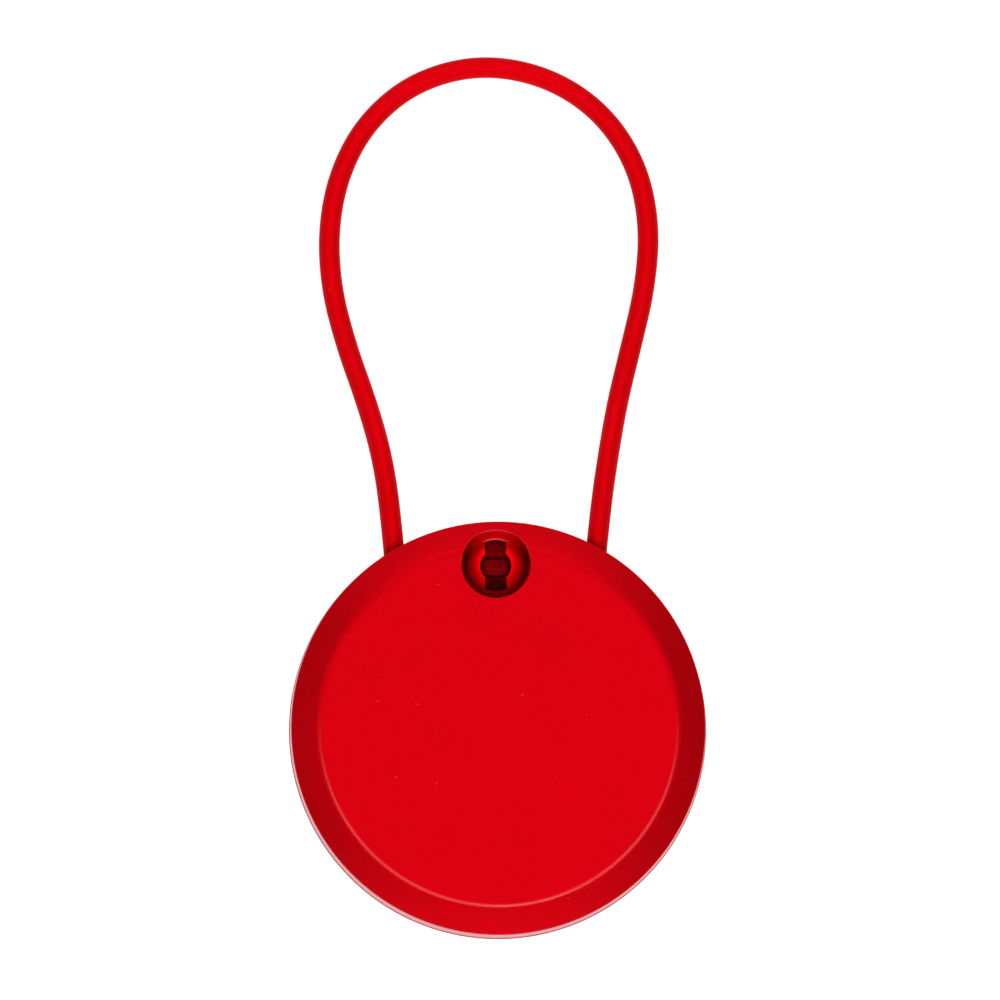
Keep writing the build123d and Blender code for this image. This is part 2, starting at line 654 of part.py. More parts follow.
with BuildPart() as leaf_clamp:
    clamp_z = LEAF_Z + LEAF_THICKNESS
    with BuildSketch(Plane.XY.offset(clamp_z)):
        with Locations((0, LEAF_SCREW_Y)):
            RectangleRounded(CLAMP_BAR_LENGTH, CLAMP_BAR_WIDTH, 1.2)
        with Locations(*leaf_screw_places):
            Circle(CASE_CLEARANCE_RADIUS, mode=Mode.SUBTRACT)
    extrude(amount=CLAMP_BAR_HEIGHT)
    chamfer(leaf_clamp.faces().sort_by(Axis.Z)[-1].outer_wire().edges(), length=0.25)

leaf_clamp.part.label = "leaf_clamp"
export_step(leaf_clamp.part, "parts/leaf_clamp.step")

with BuildPart() as leaf_screws:
    clamp_top_z = clamp_z + CLAMP_BAR_HEIGHT
    leaf_head_z = clamp_top_z + LEAF_SCREW_HEAD_HEIGHT
    for x, y in leaf_screw_places:
        add(column(x, y, LEAF_SCREW_END_Z, clamp_top_z, CASE_SCREW_RADIUS))
        add(column(x, y, clamp_top_z, leaf_head_z, CASE_SCREW_HEAD_RADIUS))
    add(cross_recess(leaf_screw_places, leaf_head_z, LARGE_RECESS, -1), mode=Mode.SUBTRACT)

leaf_screws.part.label = "leaf_screws"
export_step(leaf_screws.part, "parts/leaf_screws.step")

# ---------------------------------------------------------------- lock rotor and its clip

with BuildPart() as lock_rotor:
    flange_z = LOCK_TOP_Z + ROTOR_FLANGE_HEIGHT
    add(column(0, LOCK_Y, LOCK_TOP_Z, flange_z, ROTOR_FLANGE_RADIUS))
    # Post that the key fits over: round, with two flats
    with BuildSketch(Plane((0, LOCK_Y, flange_z))):
        Circle(POST_RADIUS)
        Rectangle(4 * POST_RADIUS, POST_FLATS, mode=Mode.INTERSECT)
    extrude(amount=POST_TOP_Z - flange_z)
    chamfer(lock_rotor.edges().group_by(Axis.Z)[-1], length=0.15)
    # Journal with the clip's groove, and the crank pin under it
    add(column(0, LOCK_Y, JOURNAL_END_Z, LOCK_TOP_Z, JOURNAL_RADIUS))
    with BuildSketch(Plane((0, LOCK_Y, CLIP_Z))):
        Circle(JOURNAL_RADIUS + 0.1)
        Circle(CLIP_GROOVE_RADIUS, mode=Mode.SUBTRACT)
    extrude(amount=CLIP_THICKNESS, mode=Mode.SUBTRACT)
    add(
        column(CRANK_SHIFT, LOCK_Y - CRANK_SHIFT, BOLT_Z, JOURNAL_END_Z, CRANK_PIN_RADIUS)
    )

lock_rotor.part.label = "lock_rotor"
export_step(lock_rotor.part, "parts/lock_rotor.step")

with BuildPart() as rotor_clip:
    with BuildSketch(Plane((0, LOCK_Y, CLIP_Z))):
        Circle(CLIP_RADIUS)
        Circle(CLIP_GROOVE_RADIUS, mode=Mode.SUBTRACT)
        with Locations((0, CLIP_RADIUS)):
            Rectangle(1.4, 2 * CLIP_RADIUS - 0.6, mode=Mode.SUBTRACT)
    extrude(amount=CLIP_THICKNESS)

rotor_clip.part.label = "rotor_clip"
export_step(rotor_clip.part, "parts/rotor_clip.step")

# ---------------------------------------------------------------- lock case, cover and screws


def lock_outline(bottom):
    """Outline shared by the lock case and its cover, at a height."""
    width = LOCK_RIGHT_X - LOCK_LEFT_X
    depth = LOCK_LIMIT_RADIUS - LOCK_FRONT_Y + 2
    middle = (LOCK_LEFT_X + width / 2, LOCK_FRONT_Y + depth / 2)
    with BuildSketch(Plane.XY.offset(bottom), mode=Mode.PRIVATE) as outline:
        with Locations(middle):
            RectangleRounded(width, depth, 1.0)
        Circle(LOCK_LIMIT_RADIUS, mode=Mode.INTERSECT)
    return outline.sketch


with BuildPart() as lock_case:
    extrude(lock_outline(LOCK_BOTTOM_Z), amount=LOCK_TOP_Z - LOCK_BOTTOM_Z)
    # Channel that guides the bolt's arm, open to the right, with the bay of its slotted head
    with BuildSketch(Plane.XY.offset(LOCK_BOTTOM_Z)):
        channel_length = LOCK_RIGHT_X - SPRING_END_X + 1
        with Locations((SPRING_END_X + channel_length / 2, BOLT_Y)):
            Rectangle(channel_length, BOLT_WIDTH + 0.2)
        with Locations((0, BOLT_Y - BOLT_WIDTH / 2 - 0.1)):
            Rectangle(BAY_WIDTH, 8, align=(Align.CENTER, Align.MIN))
    extrude(amount=LOCK_PLATE_Z - LOCK_BOTTOM_Z, mode=Mode.SUBTRACT)
    # Bore for the rotor's journal, and holes for the screws
    add(
        column(0, LOCK_Y, LOCK_BOTTOM_Z, LOCK_TOP_Z + 1, JOURNAL_RADIUS + RUNNING_FIT),
        mode=Mode.SUBTRACT,
    )
    for x, y in LOCK_SCREW_PLACES:
        add(
            column(x, y, LOCK_BOTTOM_Z - 1, LOCK_TOP_Z + 1, LOCK_CLEARANCE_RADIUS),
            mode=Mode.SUBTRACT,
        )

lock_case.part.label = "lock_case"
export_step(lock_case.part, "parts/lock_case.step")

with BuildPart() as lock_cover:
    extrude(lock_outline(COVER_Z), amount=COVER_THICKNESS)
    with Locations(*[(x, y, COVER_Z + COVER_THICKNESS / 2) for x, y in LOCK_SCREW_PLACES]):
        Cone(LOCK_HEAD_RADIUS, LOCK_CLEARANCE_RADIUS, COVER_THICKNESS, mode=Mode.SUBTRACT)

lock_cover.part.label = "lock_cover"
export_step(lock_cover.part, "parts/lock_cover.step")

with BuildPart() as lock_screws:
    for x, y in LOCK_SCREW_PLACES:
        add(column(x, y, LOCK_BOTTOM_Z, LOCK_SCREW_END_Z, LOCK_SCREW_RADIUS))
    with Locations(*[(x, y, COVER_Z + COVER_THICKNESS / 2) for x, y in LOCK_SCREW_PLACES]):
        Cone(LOCK_HEAD_RADIUS, LOCK_CLEARANCE_RADIUS, COVER_THICKNESS)
    add(cross_recess(LOCK_SCREW_PLACES, COVER_Z, SMALL_RECESS, 1), mode=Mode.SUBTRACT)

lock_screws.part.label = "lock_screws"
export_step(lock_screws.part, "parts/lock_screws.step")

# ---------------------------------------------------------------- lock bolt and its spring

with BuildPart() as lock_bolt:
    # Arm, head with the crank pin's slot, and tail that the spring pushes
    with BuildSketch(Plane.XY.offset(BOLT_Z)):
        arm_length = NOSE_LEFT_X - TAIL_X
        with Locations((TAIL_X + arm_length / 2, BOLT_Y)):
            Rectangle(arm_length, BOLT_WIDTH)
        with Locations((CRANK_SHIFT, BOLT_Y - BOLT_WIDTH / 2)):
            Rectangle(HEAD_WIDTH, HEAD_DEPTH, align=(Align.CENTER, Align.MIN))
        slot_middle = LOCK_Y - (CRANK_RADIUS + CRANK_SHIFT) / 2
        with Locations((CRANK_SHIFT, slot_middle)):
            SlotCenterToCenter(
                CRANK_RADIUS - CRANK_SHIFT,
                2 * (CRANK_PIN_RADIUS + CRANK_SLOT_PLAY),
                rotation=90,
                mode=Mode.SUBTRACT,
            )
    extrude(amount=BOLT_THICKNESS)
    with BuildSketch(Plane.XY.offset(BOLT_Z)):
        with Locations((TAIL_X, BOLT_Y)):
            Rectangle(1.0, BOLT_WIDTH, align=(Align.MIN, Align.CENTER))
    extrude(amount=LOCK_PLATE_Z - 0.1 - BOLT_Z)
    with BuildSketch(Plane.YZ.offset(TAIL_X)):
        with Locations((BOLT_Y, SPRING_Z)):
            Circle(SPIGOT_RADIUS)
    extrude(amount=-SPIGOT_LENGTH)
    # Upright nose with a fork that fits round the plug's neck
    with BuildSketch(Plane.XY.offset(BOLT_Z)):
        with Locations((NOSE_LEFT_X - 0.2, BOLT_Y)):
            Rectangle(
                NECK_X - NOSE_LEFT_X + 0.2, NOSE_WIDTH, align=(Align.MIN, Align.CENTER)
            )
    extrude(amount=NOSE_TOP_Z - BOLT_Z)
    add(rod(1, NECK_AT - 2, NECK_AT + 2, FORK_RADIUS), mode=Mode.SUBTRACT)

lock_bolt.part.label = "lock_bolt"
export_step(lock_bolt.part, "parts/lock_bolt.step")

with BuildPart() as bolt_spring:
    coil_length = TAIL_X - SPRING_END_X - SPRING_WIRE
    coil_start = (SPRING_END_X + SPRING_WIRE / 2, BOLT_Y, SPRING_Z)
    with BuildLine() as coil:
        Helix(
            coil_length / SPRING_TURNS,
            coil_length,
            SPRING_RADIUS,
            center=coil_start,
            direction=(1, 0, 0),
        )
    with BuildSketch(Plane(coil.line @ 0, z_dir=coil.line % 0)):
        Circle(SPRING_WIRE / 2)
    sweep(path=coil.line, is_frenet=True)

bolt_spring.part.label = "bolt_spring"
export_step(bolt_spring.part, "parts/bolt_spring.step")

# ---------------------------------------------------------------- cord ends

with BuildPart() as plug_sleeve:
    add(rod(1, SLEEVE_START, SLEEVE_END, SLEEVE_RADIUS))
    add(rod(1, SLEEVE_START - 1, SLEEVE_END + 1, SLEEVE_BORE_RADIUS), mode=Mode.SUBTRACT)
    # Window for the bolt's nose
    with BuildSketch(Plane.XY.offset(CORD_Z - SLEEVE_RADIUS - 1)):
        with Locations((NECK_X + WINDOW_PLAY, BOLT_Y)):
            Rectangle(
                WINDOW_LENGTH, NOSE_WIDTH + 2 * NOSE_PLAY, align=(Align.MAX, Align.CENTER)
            )
    extrude(amount=2 * SLEEVE_RADIUS + 2, mode=Mode.SUBTRACT)

plug_sleeve.part.label = "plug_sleeve"
export_step(plug_sleeve.part, "parts/plug_sleeve.step")

with BuildPart() as release_plug:
    add(rod(1, SHEATH_END, PLUG_END, CORD_RADIUS))
    chamfer(release_plug.edges().sort_by(Axis.Y)[0], length=0.6)
    # Neck that the bolt's fork holds
    neck = rod(
        1, NECK_AT - PLUG_NECK_WIDTH / 2, NECK_AT + PLUG_NECK_WIDTH / 2, CORD_RADIUS + 1
    )
    core = rod(1, SHEATH_END, PLUG_END, PLUG_NECK_RADIUS)
    add(neck - core, mode=Mode.SUBTRACT)
    add(rod(1, SHEATH_END, PLUG_END - 0.8, WIRE_RADIUS), mode=Mode.SUBTRACT)

release_plug.part.label = "release_plug"
export_step(release_plug.part, "parts/release_plug.step")

with BuildPart() as fixed_ferrule:
    add(rod(-1, SHEATH_END, FERRULE_END, CORD_RADIUS))
    chamfer(fixed_ferrule.edges().sort_by(Axis.Y)[0], length=0.3)
    add(rod(-1, FERRULE_FLANGE_START, FERRULE_FLANGE_END, FERRULE_FLANGE_RADIUS))
    add(rod(-1, SHEATH_END, FERRULE_END - 0.6, WIRE_RADIUS), mode=Mode.SUBTRACT)

fixed_ferrule.part.label = "fixed_ferrule"
export_step(fixed_ferrule.part, "parts/fixed_ferrule.step")

with BuildPart() as wire_ends:
    add(rod(1, SHEATH_END, PLUG_END - 0.8, WIRE_RADIUS))
    add(rod(-1, SHEATH_END, FERRULE_END - 0.6, WIRE_RADIUS))

wire_ends.part.label = "wire_ends"
export_step(wire_ends.part, "parts/wire_ends.step")

# ---------------------------------------------------------------- clamp of the fixed end

with BuildPart() as cord_clamp:
    add(block(-1, CLAMP_START, CLAMP_END, SADDLE_HALF_WIDTH, CLAMP_BOTTOM_Z, CORD_Z))
    fillet(cord_clamp.edges().filter_by(Axis.Z).group_by(Axis.Y)[0], radius=1.5)
    add(column(0, 0, 0, CORD_Z, LOCK_LIMIT_RADIUS + 0.2), mode=Mode.INTERSECT)
    add(rod(-1, SHEATH_END, FERRULE_END + 0.4, CORD_RADIUS), mode=Mode.SUBTRACT)
    add(
        rod(-1, FERRULE_FLANGE_START, FERRULE_FLANGE_END, FERRULE_FLANGE_RADIUS),
        mode=Mode.SUBTRACT,
    )
    add(
        column(screw_x, screw_y, 0, CORD_Z + 1, LOCK_CLEARANCE_RADIUS),
        mode=Mode.SUBTRACT,
    )

cord_clamp.part.label = "cord_clamp"
export_step(cord_clamp.part, "parts/cord_clamp.step")

with BuildPart() as clamp_screw:
    clamp_head_z = CLAMP_BOTTOM_Z - LOCK_HEAD_HEIGHT
    add(column(screw_x, screw_y, clamp_head_z, CLAMP_BOTTOM_Z, LOCK_HEAD_RADIUS))
    add(column(screw_x, screw_y, CLAMP_BOTTOM_Z, CLAMP_SCREW_END_Z, LOCK_SCREW_RADIUS))
    clamp_cross = cross_recess([(screw_x, screw_y)], clamp_head_z, SMALL_RECESS, 1)
    add(clamp_cross, mode=Mode.SUBTRACT)

clamp_screw.part.label = "clamp_screw"
export_step(clamp_screw.part, "parts/clamp_screw.step")

# ---------------------------------------------------------------- loop cord

route = [Vector(*point) for point in LOOP_ROUTE]
radii = []
for before, corner, after in zip(route, route[1:], route[2:]):
    turn = math.radians((corner - before).get_angle(after - corner))
    shorter = min((corner - before).length, (after - corner).length)
    radii.append(0.45 * shorter / math.tan(turn / 2))

with BuildPart() as loop_cord:
    with BuildLine() as cord_line:
        FilletPolyline(*route, radius=radii)
    with BuildSketch(Plane(cord_line.line @ 0, z_dir=cord_line.line % 0)):
        Circle(CORD_RADIUS)
    sweep(path=cord_line.line)

loop_cord.part.label = "loop_cord"
export_step(loop_cord.part, "parts/loop_cord.step")

cord_length = sum(edge.length for edge in cord_line.edges())
tube_volume = math.pi * CORD_RADIUS**2 * cord_length
print("cord bend radii, mm:", [round(radius, 1) for radius in radii])
print("cord length, mm:", round(cord_length, 1))
print("tube volume over section times length:", round(loop_cord.part.volume / tube_volume, 4))
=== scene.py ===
"""Looks of a round click trainer on a loop of sheathed cord: finishes, inner details, light and camera.

Sizes are in metres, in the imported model's frame: the case lies on its foot ring at z = 0, its plain
front face is up and the loop leaves it towards +Y.
"""

import json
import math

import bmesh
import bpy
from mathutils import Matrix, Vector


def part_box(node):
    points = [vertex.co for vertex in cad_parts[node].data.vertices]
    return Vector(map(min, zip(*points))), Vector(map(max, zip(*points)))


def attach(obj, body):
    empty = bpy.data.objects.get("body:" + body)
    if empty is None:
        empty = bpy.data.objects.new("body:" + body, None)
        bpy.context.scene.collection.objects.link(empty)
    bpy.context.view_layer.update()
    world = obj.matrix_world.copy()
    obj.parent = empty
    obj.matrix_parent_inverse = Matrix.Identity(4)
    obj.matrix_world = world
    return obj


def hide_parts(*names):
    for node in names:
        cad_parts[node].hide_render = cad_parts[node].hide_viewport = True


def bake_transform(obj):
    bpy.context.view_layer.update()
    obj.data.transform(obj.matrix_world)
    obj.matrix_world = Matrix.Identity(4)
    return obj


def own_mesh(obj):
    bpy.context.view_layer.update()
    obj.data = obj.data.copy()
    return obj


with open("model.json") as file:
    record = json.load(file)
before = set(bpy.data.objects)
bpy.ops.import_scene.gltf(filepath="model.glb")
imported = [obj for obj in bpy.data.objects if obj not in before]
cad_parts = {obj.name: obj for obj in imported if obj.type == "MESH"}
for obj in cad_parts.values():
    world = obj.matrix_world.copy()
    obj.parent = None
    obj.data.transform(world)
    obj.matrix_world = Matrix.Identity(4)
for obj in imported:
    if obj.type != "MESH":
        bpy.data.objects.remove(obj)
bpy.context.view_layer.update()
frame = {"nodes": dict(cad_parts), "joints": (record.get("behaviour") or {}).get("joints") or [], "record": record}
nodes = frame["nodes"]
joints = {joint["name"]: joint for joint in frame["joints"]}
scene = bpy.context.scene


def placed(name, data):
    """New object that holds the given data, in the scene."""
    thing = bpy.data.objects.new(name, data)
    scene.collection.objects.link(thing)
    return thing


# ---------------------------------------------------------------- camera

CAMERA_PLACE = (-0.0240, -0.0864, 1.2101)
CAMERA_TURN_DEGREES = (5.4282, -1.0916, -0.8790)
LENS_MM = 362.95
SENSOR_MM = 36

scene.view_settings.view_transform = "Standard"
scene.view_settings.gamma = 0.8

camera_data = bpy.data.cameras.new("studio_camera")
camera_data.sensor_width = SENSOR_MM
camera_data.lens = LENS_MM
camera_data.clip_start = 0.05
camera_data.clip_end = 20
camera = placed("studio_camera", camera_data)
camera.location = CAMERA_PLACE
camera.rotation_euler = [math.radians(angle) for angle in CAMERA_TURN_DEGREES]
scene.camera = camera

# ---------------------------------------------------------------- cord

CORD_DIAMETER = 0.0025
# Height of the cord's middle in the case, and where it lies on the table
CORD_Z = 0.0054
LYING_Z = 0.00127
LOOP_ROUTE = [
    (-0.01194, 0.01940, CORD_Z),
    (-0.01248, 0.02690, CORD_Z),
    (-0.01345, 0.0338, 0.0042),
    (-0.01518, 0.0403, 0.0021),
    (-0.01745, 0.0470, LYING_Z),
    (-0.01920, 0.0541, LYING_Z),
    (-0.01945, 0.0614, LYING_Z),
    (-0.01795, 0.0683, LYING_Z),
    (-0.01450, 0.0744, LYING_Z),
    (-0.00870, 0.0791, LYING_Z),
    (-0.00090, 0.0811, LYING_Z),
    (0.00710, 0.0796, LYING_Z),
    (0.01365, 0.0753, LYING_Z),
    (0.01790, 0.0688, LYING_Z),
    (0.01940, 0.0613, LYING_Z),
    (0.01870, 0.0536, LYING_Z),
    (0.01680, 0.0462, LYING_Z),
    (0.01510, 0.0397, 0.0021),
    (0.01388, 0.0334, 0.0042),
    (0.01280, 0.02690, CORD_Z),
    (0.01194, 0.01940, CORD_Z),
]


def sheath_curve(name, route, diameter):
    """Round cord: one smooth open spline with the route's points as its control points."""
    data = bpy.data.curves.new(name, "CURVE")
    data.dimensions = "3D"
    data.resolution_u = 24
    # With a depth of 1, each point's radius is the cord's own
    data.bevel_depth = 1.0
    data.bevel_resolution = 8
    data.use_fill_caps = True
    spline = data.splines.new("NURBS")
    spline.points.add(len(route) - 1)
    for point, place in zip(spline.points, route):
        point.co = (*place, 1)
        point.radius = diameter / 2
    spline.order_u = 3
    spline.use_endpoint_u = True
    return placed(name, data)


loop = sheath_curve("cord_sheath", LOOP_ROUTE, CORD_DIAMETER)
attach(loop, "case")
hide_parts("loop_cord")

# ---------------------------------------------------------------- click leaf

# The leaf bends from just past its clamp's edge to where the button's nose touches it
LEAF_CUT_STEP = 0.0008
# Points nearer than this count as one
SAME_PLACE = 1e-7


def cut_copy(node, name, step):
    """Merged copy of a node's mesh, cut across Y at even steps so that it can bend smoothly."""
    low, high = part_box(node)
    mesh = bpy.data.meshes.new(name)
    builder = bmesh.new()
    builder.from_mesh(nodes[node].data)
    bmesh.ops.remove_doubles(builder, verts=builder.verts, dist=SAME_PLACE)
    for index in range(1, int((high[1] - low[1]) / step) + 1):
        bmesh.ops.bisect_plane(
            builder,
            geom=[*builder.verts, *builder.edges, *builder.faces],
            plane_co=(0, low[1] + index * step, 0),
            plane_no=(0, 1, 0),
            dist=SAME_PLACE,
        )
    builder.to_mesh(mesh)
    builder.free()
    return placed(name, mesh)


bending_leaf = cut_copy("click_leaf", "bending_leaf", LEAF_CUT_STEP)
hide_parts("click_leaf")
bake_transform(bending_leaf)

# ---------------------------------------------------------------- node tree helpers

FLOAT = "NodeSocketFloat"
VECTOR = "NodeSocketVector"
MATERIAL = "NodeSocketMaterial"
GEOMETRY = "NodeSocketGeometry"


def feed(tree, node, inputs):
    """Links a source to each named or numbered socket, or sets the socket to a plain value."""
    for socket, source in inputs:
        if isinstance(source, bpy.types.NodeSocket):
            tree.links.new(source, node.inputs[socket])
        else:
            node.inputs[socket].default_value = source


def add(tree, kind, inputs=(), **settings):
    """Adds a node, sets its properties and feeds its (socket, source or value) pairs."""
    node = tree.nodes.new(kind)
    for label, value in settings.items():
        setattr(node, label, value)
    feed(tree, node, inputs)
    return node


def group(kind, name, inputs, outputs):
    """Empty node group with named sockets; also gives its inner sources and its inner end node.

    inputs: name, socket type and default or None; outputs: name and socket type.
    """
    tree = bpy.data.node_groups.new(name, kind)
    for label, socket_type, value in inputs:
        socket = tree.interface.new_socket(label, in_out="INPUT", socket_type=socket_type)
        if value is not None:
            socket.default_value = value
    for label, socket_type in outputs:
        tree.interface.new_socket(label, in_out="OUTPUT", socket_type=socket_type)
    return tree, add(tree, "NodeGroupInput").outputs, add(tree, "NodeGroupOutput")


def maths(tree, operation, first, second=0.0):
    """Result of a sum, comparison or other operation on two sources or values."""
    return add(tree, "ShaderNodeMath", [(0, first), (1, second)], operation=operation).outputs[0]


def vector_maths(tree, operation, first, second=(0, 0, 0)):
    """Outputs of a sum, product or other operation on two vector sources or values."""
    return add(tree, "ShaderNodeVectorMath", [(0, first), (1, second)], operation=operation).outputs


def noise(tree, where, scale, detail=2.0):
    """Smooth noise that mostly stays near the middle of 0 to 1."""
    inputs = [("Vector", where), ("Scale", scale), ("Detail", detail)]
    return add(tree, "ShaderNodeTexNoise", inputs).outputs[0]


def ranged(tree, value, old_range, new_range, kind="LINEAR"):
    """Value carried from one range to another, and held at its ends."""
    inputs = enumerate((value, *old_range, *new_range))
    return add(tree, "ShaderNodeMapRange", inputs, interpolation_type=kind).outputs[0]


def faded(tree, mask, first, second):
    """Number that goes from one source or value to another where the mask goes from 0 to 1."""
    return add(tree, "ShaderNodeMix", [(0, mask), (2, first), (3, second)]).outputs[0]


def mixed(tree, mask, first, second):
    """Colour that goes from one source or value to another where the mask goes from 0 to 1."""
    first, second = ((*part, 1) if isinstance(part, tuple) else part for part in (first, second))
    pairs = [(0, mask), (6, first), (7, second)]
    return add(tree, "ShaderNodeMix", pairs, data_type="RGBA").outputs[2]


# ---------------------------------------------------------------- shared surface effects

GRAIN_DEPTH = 0.00002
PATCHES_PER_METRE = 120.0
# The stretches of the noise that the colours and the roughness follow
PEBBLE_RANGE = (0.25, 0.75)
PATCH_RANGE = (0.3, 0.7)


def mould_grain():
    """Spark-eroded mould grain: a fine even pebble with a slower unevenness under it."""
    tree, given, end = group(
        "ShaderNodeTree",
        "mould_grain",
        [("Place", VECTOR, None), ("Fineness", FLOAT, None), ("Unevenness", FLOAT, 0.35)],
        [("Height", FLOAT), ("Patches", FLOAT), ("Mottle", FLOAT)],
    )
    pebble = noise(tree, given["Place"], given["Fineness"], detail=3.0)
    slow = noise(tree, given["Place"], PATCHES_PER_METRE)
    uneven = maths(tree, "MULTIPLY", slow, given["Unevenness"])
    results = [
        ("Height", maths(tree, "ADD", pebble, uneven)),
        ("Patches", slow),
        ("Mottle", ranged(tree, pebble, PEBBLE_RANGE, (0.0, 1.0))),
    ]
    feed(tree, end, results)
    return tree


def upright_ring_mask():
    """Ring about an upright axis, above a height and strongest on one side along Y."""
    tree, given, end = group(
        "ShaderNodeTree",
        "upright_ring_mask",
        [
            ("Place", VECTOR, None),
            ("Centre", VECTOR, None),
            ("Radius", FLOAT, None),
            ("Half Width", FLOAT, None),
            ("Half Width Faded", FLOAT, None),
            ("Side Start", FLOAT, None),
            ("Side End", FLOAT, None),
            ("Lowest", FLOAT, None),
        ],
        [("Mask", FLOAT)],
    )
    offset = vector_maths(tree, "SUBTRACT", given["Place"], given["Centre"])[0]
    flat = vector_maths(tree, "MULTIPLY", offset, (1, 1, 0))[0]
    from_axis = vector_maths(tree, "LENGTH", flat)["Value"]
    apart = maths(tree, "ABSOLUTE", maths(tree, "SUBTRACT", from_axis, given["Radius"]))
    widths = (given["Half Width"], given["Half Width Faded"])
    band = ranged(tree, apart, widths, (1.0, 0.0), "SMOOTHSTEP")
    along = add(tree, "ShaderNodeSeparateXYZ", [(0, offset)]).outputs
    sides = (given["Side Start"], given["Side End"])
    side = ranged(tree, along["Y"], sides, (0.0, 1.0), "SMOOTHSTEP")
    above = maths(tree, "GREATER_THAN", along["Z"], given["Lowest"])
    both = maths(tree, "MULTIPLY", band, side)
    feed(tree, end, [("Mask", maths(tree, "MULTIPLY", both, above))])
    return tree


def dust_specks():
    """A few specks of dust, far apart."""
    tree, given, end = group(
        "ShaderNodeTree",
        "dust_specks",
        [("Place", VECTOR, None), ("Spacing", FLOAT, 400.0), ("Share", FLOAT, 0.3), ("Size", FLOAT, 0.04)],
        [("Mask", FLOAT)],
    )
    cells = add(
        tree,
        "ShaderNodeTexVoronoi",
        [("Vector", given["Place"]), ("Scale", given["Spacing"])],
    ).outputs
    lot = add(tree, "ShaderNodeSeparateColor", [(0, cells["Color"])]).outputs["Red"]
    speck = maths(tree, "LESS_THAN", cells["Distance"], given["Size"])
    chosen = maths(tree, "LESS_THAN", lot, given["Share"])
    feed(tree, end, [("Mask", maths(tree, "MULTIPLY", speck, chosen))])
    return tree


GRAIN = mould_grain()
RING = upright_ring_mask()
SPECKS = dust_specks()

EVERY_SIDE = (-1.0, -0.9)
EVERY_HEIGHT = -1.0


def ring_mask(tree, where, centre, ring, side=EVERY_SIDE, lowest=EVERY_HEIGHT):
    """Mask of a ring about an upright axis.

    ring: its radius, the half width out to which it is full and the one where it is gone;
    side: how far along Y from the centre it begins and is full; lowest: the Z above which it shows.
    """
    labels = ("Radius", "Half Width", "Half Width Faded", "Side Start", "Side End", "Lowest")
    inputs = [("Place", where), ("Centre", centre), *zip(labels, (*ring, *side, lowest))]
    return add(tree, "ShaderNodeGroup", inputs, node_tree=RING).outputs["Mask"]


def grained(tree, fineness, drawn=(1, 1, 1)):
    """Object coordinates and the grain's sources on them.

    fineness: grains per metre; drawn: a small factor draws the grain out along its axis.
    """
    where = add(tree, "ShaderNodeTexCoord").outputs["Object"]
    stretched = vector_maths(tree, "MULTIPLY", where, drawn)[0]
    inputs = [("Place", stretched), ("Fineness", fineness)]
    return where, add(tree, "ShaderNodeGroup", inputs, node_tree=GRAIN).outputs


def rough_patches(tree, texture, roughness, spread):
    """Roughness that drifts either way of its value."""
    return ranged(tree, texture["Patches"], PATCH_RANGE, (roughness - spread, roughness + spread))


def mottled(tree, texture, colour, contrast):
    """Colour that varies with the grain."""
    dark = tuple(part * (1 - contrast) for part in colour)
    light = tuple(part * (1 + contrast) for part in colour)
    return mixed(tree, texture["Mottle"], dark, light)


def grain_relief(tree, texture, strength):
    """Normal of the grain's height."""
    inputs = [("Height", texture["Height"]), ("Strength", strength), ("Distance", GRAIN_DEPTH)]
    return add(tree, "ShaderNodeBump", inputs).outputs[0]


# ---------------------------------------------------------------- places, marks, and painted light and shade on the plastic

CASE_CENTRE = (0, 0, 0)
CASE_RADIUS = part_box("rear_shell")[1][0]
LOCK_CENTRE = (*joints["lock_turn"]["pos_m"][:2], 0)
# Of the two halves of the case, only the front one reaches above this height
FRONT_HALF_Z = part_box("rear_shell")[1][2]

DUST_COLOUR = (0.75, 0.06, 0.07)

# Painted shadow on the cord where it meets the case
ENTRY_SHADOW_RED = (0.4, 0.0, 0.001)
ENTRY_SHADOW_RING = (CASE_RADIUS - 0.0005, 0.0004, 0.0014)

# Painted shade on the rotor under the keyhole's lower end
SHADE_DEEP_RED = (0.03, 0.0, 0.0)
WHOLE_LOCK = (0.0, 0.005, 0.006)
KEYHOLE_LOW_END = (0.0, -0.0032)

BOWL = (0.0, 0.00394, 0.00402)
# Painted light: the bowl's red, lighter than the case's
BOWL_LIT_RED = (0.72, 0.0015, 0.004)
BOWL_ROUGHNESS = 0.5
# Painted light and shade on rings round the keyhole: ring, side, colour
BOWL_PAINTED_LIGHT = [
    # Painted light: the upper wall lighter
    ((0.0040, 0.0006, 0.0014), (0.0008, 0.0032), (0.97, 0.003, 0.01)),
    # Painted shade: the outer ring darker, except at the top
    ((0.0040, 0.0004, 0.0010), (0.0028, 0.0008), (0.27, 0.0005, 0.001)),
    # Painted shade: the lower part darker
    (WHOLE_LOCK, (-0.0006, -0.0028), (0.33, 0.0005, 0.001)),
    # Painted highlight: a pinkish white line on the keyhole's upper edge
    ((0.00315, 0.00003, 0.00009), (0.0027, 0.0030), (1.0, 0.3, 0.33)),
]
# Upper wall of the bowl, where polishing has left it hazy
HAZY_RING = (0.0041, 0.0002, 0.0006)
HAZY_SIDE = (0.0024, 0.0038)
HAZY_METALLIC = 0.4

FACE_EDGE = (0.0214, 0.0, 0.0003)
BOWL_RIM = (0.00412, 0.00003, 0.00012)
SIDE_WALL = (CASE_RADIUS + 0.0002, 0.00042, 0.00052)
# Painted shade: the side wall's red, darker than the case's
SIDE_WALL_SHADE_RED = (0.48, 0.0015, 0.001)
